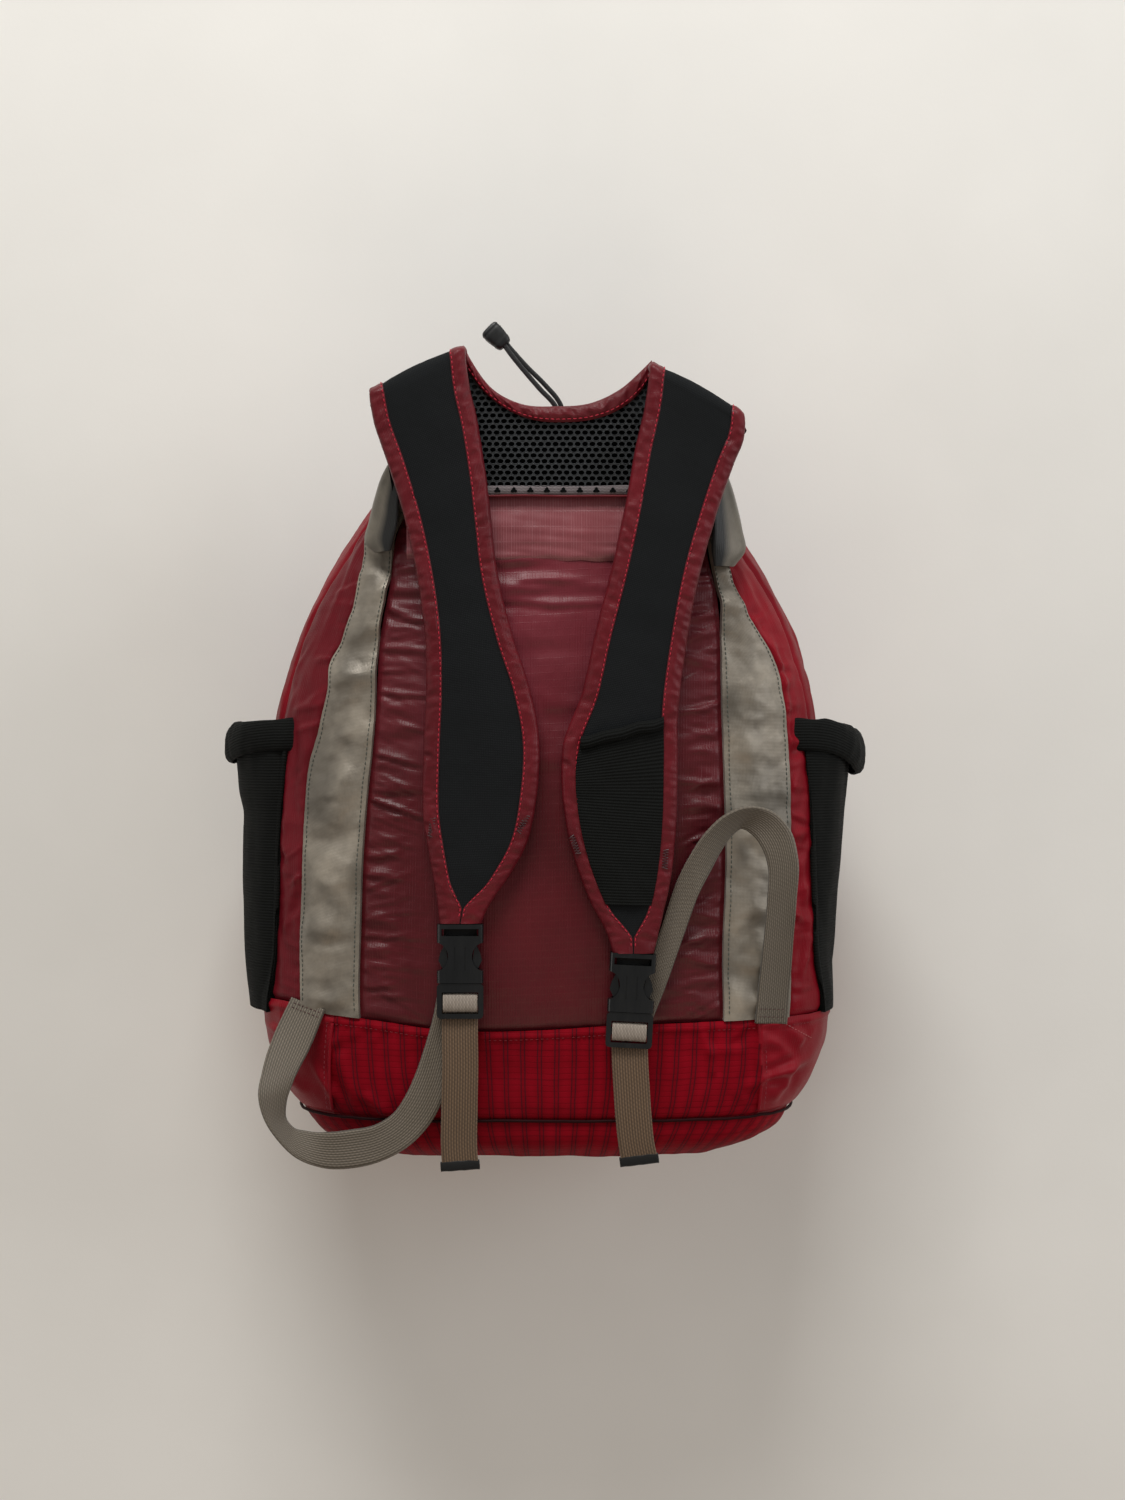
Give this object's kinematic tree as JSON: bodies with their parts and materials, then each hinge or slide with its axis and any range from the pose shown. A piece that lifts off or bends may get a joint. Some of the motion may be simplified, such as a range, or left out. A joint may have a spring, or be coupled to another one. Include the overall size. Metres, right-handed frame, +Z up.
{
  "type": "daypack with shoulder harness",
  "caption": "Zip-top fabric daypack with shaped shoulder straps, side release buckles, webbing adjusters, stretch side pockets and a reinforced base.",
  "frame": {"origin": "middle of the underside of the base, on the floor the pack stands on", "axes": "+Z up along the back, harness side facing -Y, front pocket facing +Y, +X to the right when looking at the harness"},
  "size_m": [0.392, 0.2172, 0.504],
  "materials": {
    "ripstop_dark": "satin",
    "ripstop_red": "satin",
    "boot_fabric": "satin",
    "grey_coated": "satin",
    "spacer_mesh": "matte",
    "strap_fabric": "matte",
    "binding_fabric": "satin",
    "stretch_mesh": "matte",
    "foam": "matte",
    "webbing": "matte",
    "zip_tape": "matte",
    "acetal": "satin",
    "zip_metal": "satin",
    "cord": "matte",
    "grip_rubber": "matte",
    "webbing_end": "matte"
  },
  "bodies": {
    "pack": {"base_panel": "boot_fabric", "boot_panel": "boot_fabric", "base_piping": "binding_fabric", "back_panel": "ripstop_dark", "front_panel": "ripstop_red", "flap_hinge_fabric": "ripstop_red", "side_panel_left": "ripstop_red", "side_panel_right": "ripstop_red", "top_gusset": "ripstop_red", "grey_strip_left": "grey_coated", "grey_strip_right": "grey_coated", "back_foam": "foam", "upper_back_band": "ripstop_dark", "yoke_trim_tape": "webbing", "yoke_pad": "spacer_mesh", "neck_binding": "binding_fabric", "stabiliser_left": "webbing", "stabiliser_right": "webbing", "side_pocket_right": "stretch_mesh", "side_pocket_left": "stretch_mesh", "pocket_hem_right": "stretch_mesh", "pocket_hem_left": "stretch_mesh", "front_pocket": "ripstop_red", "front_pocket_zip": "zip_tape", "main_zip_fixed_half": "zip_tape", "webbing_loop_left": "webbing", "webbing_loop_right": "webbing"},
    "flap": {"front_flap": "ripstop_red", "main_zip_flap_half": "zip_tape"},
    "slider_left": {"main_zip_slider_left": "zip_metal"},
    "slider_right": {"main_zip_slider_right": "zip_metal"},
    "pull_left": {"zip_cord_left": "cord", "zip_grip_left": "grip_rubber"},
    "pull_right": {"zip_cord_right": "cord", "zip_grip_right": "grip_rubber"},
    "pocket_slider": {"front_pocket_slider": "zip_metal"},
    "pocket_pull": {"front_pocket_pull": "grip_rubber"},
    "strap_left": {"strap_pad_left": "foam", "strap_face_left": "strap_fabric", "strap_binding_left": "binding_fabric", "buckle_socket_left": "acetal"},
    "strap_right": {"strap_pad_right": "foam", "strap_face_right": "strap_fabric", "strap_binding_right": "binding_fabric", "strap_pocket_right": "stretch_mesh", "buckle_socket_right": "acetal"},
    "latch_left": {"latch_frame_left": "acetal", "webbing_wrap_left": "webbing"},
    "latch_right": {"latch_frame_right": "acetal", "webbing_wrap_right": "webbing"},
    "arm_inner_left": {"latch_arm_inner_left": "acetal"},
    "arm_outer_left": {"latch_arm_outer_left": "acetal"},
    "arm_inner_right": {"latch_arm_inner_right": "acetal"},
    "arm_outer_right": {"latch_arm_outer_right": "acetal"},
    "tail_left": {"webbing_tail_left": "webbing", "tail_end_left": "webbing_end"},
    "tail_right": {"webbing_tail_right": "webbing", "tail_end_right": "webbing_end"}
  },
  "joints": [
    {"name": "strap_swing_left", "type": "hinge", "parent": "pack", "child": "strap_left", "pos_m": [-0.07113, -0.0935, 0.45364], "axis": [-0.9024, 0, -0.431], "range_deg": [0, 40]},
    {"name": "strap_swing_right", "type": "hinge", "parent": "pack", "child": "strap_right", "pos_m": [0.08486, -0.0935, 0.44238], "axis": [-0.8773, 0, 0.48], "range_deg": [0, 40]},
    {"name": "latch_release_left", "type": "slide", "parent": "strap_left", "child": "latch_left", "axis": [0, 0, -1], "range_m": [0, 0.026], "deforming": ["latch_arm_inner_left", "latch_arm_outer_left"]},
    {"name": "latch_release_right", "type": "slide", "parent": "strap_right", "child": "latch_right", "axis": [-0.0523, 0, -0.9986], "range_m": [0, 0.026], "deforming": ["latch_arm_inner_right", "latch_arm_outer_right"]},
    {"name": "arm_press_outer_left", "type": "hinge", "parent": "latch_left", "child": "arm_outer_left", "pos_m": [-0.0566, -0.0962, 0.1048], "axis": [0, 1, 0], "range_deg": [0, 9], "stiffness_Nm_per_rad": 0.02},
    {"name": "arm_press_inner_left", "type": "hinge", "parent": "latch_left", "child": "arm_inner_left", "pos_m": [-0.0402, -0.0962, 0.1048], "axis": [0, -1, 0], "range_deg": [0, 9], "stiffness_Nm_per_rad": 0.02},
    {"name": "arm_press_outer_right", "type": "hinge", "parent": "latch_right", "child": "arm_outer_right", "pos_m": [0.05672, -0.0962, 0.08772], "axis": [0, -1, 0], "range_deg": [0, 9], "stiffness_Nm_per_rad": 0.02},
    {"name": "arm_press_inner_right", "type": "hinge", "parent": "latch_right", "child": "arm_inner_right", "pos_m": [0.04034, -0.0962, 0.08858], "axis": [0, 1, 0], "range_deg": [0, 9], "stiffness_Nm_per_rad": 0.02},
    {"name": "flap_open", "type": "hinge", "parent": "pack", "child": "flap", "pos_m": [0, 0.068, 0.285], "axis": [-1, 0, 0], "range_deg": [0, 80], "deforming": ["main_zip_flap_half", "flap_hinge_fabric"]},
    {"name": "slider_left_travel", "type": "hinge", "parent": "pack", "child": "slider_left", "pos_m": [0, 0.0468, 0.3154], "axis": [0, 0.9135, 0.4067], "range_deg": [-95, 0]},
    {"name": "slider_right_travel", "type": "hinge", "parent": "pack", "child": "slider_right", "pos_m": [0, 0.0468, 0.3154], "axis": [0, 0.9135, 0.4067], "range_deg": [0, 95]},
    {"name": "pull_left_swing", "type": "hinge", "parent": "slider_left", "child": "pull_left", "pos_m": [-0.0067, 0.00666, 0.42868], "axis": [0, 0.4067, -0.9135], "range_deg": [0, 100]},
    {"name": "pull_right_swing", "type": "hinge", "parent": "slider_right", "child": "pull_right", "pos_m": [0.00675, 0.00552, 0.42926], "axis": [1, 0, 0], "range_deg": [-94, 0]},
    {"name": "pocket_slider_travel", "type": "slide", "parent": "pack", "child": "pocket_slider", "axis": [1, 0, 0], "range_m": [-0.06, 0.06]},
    {"name": "pocket_pull_swing", "type": "hinge", "parent": "pocket_slider", "child": "pocket_pull", "pos_m": [0, 0.1135, 0.1785], "axis": [1, 0, 0], "range_deg": [0, 110]},
    {"name": "tail_adjust_left", "type": "slide", "parent": "latch_left", "child": "tail_left", "axis": [0, 0, -1], "range_m": [0, 0.03]},
    {"name": "tail_adjust_right", "type": "slide", "parent": "latch_right", "child": "tail_right", "axis": [-0.0523, 0, -0.9986], "range_m": [0, 0.03]}
  ]
}
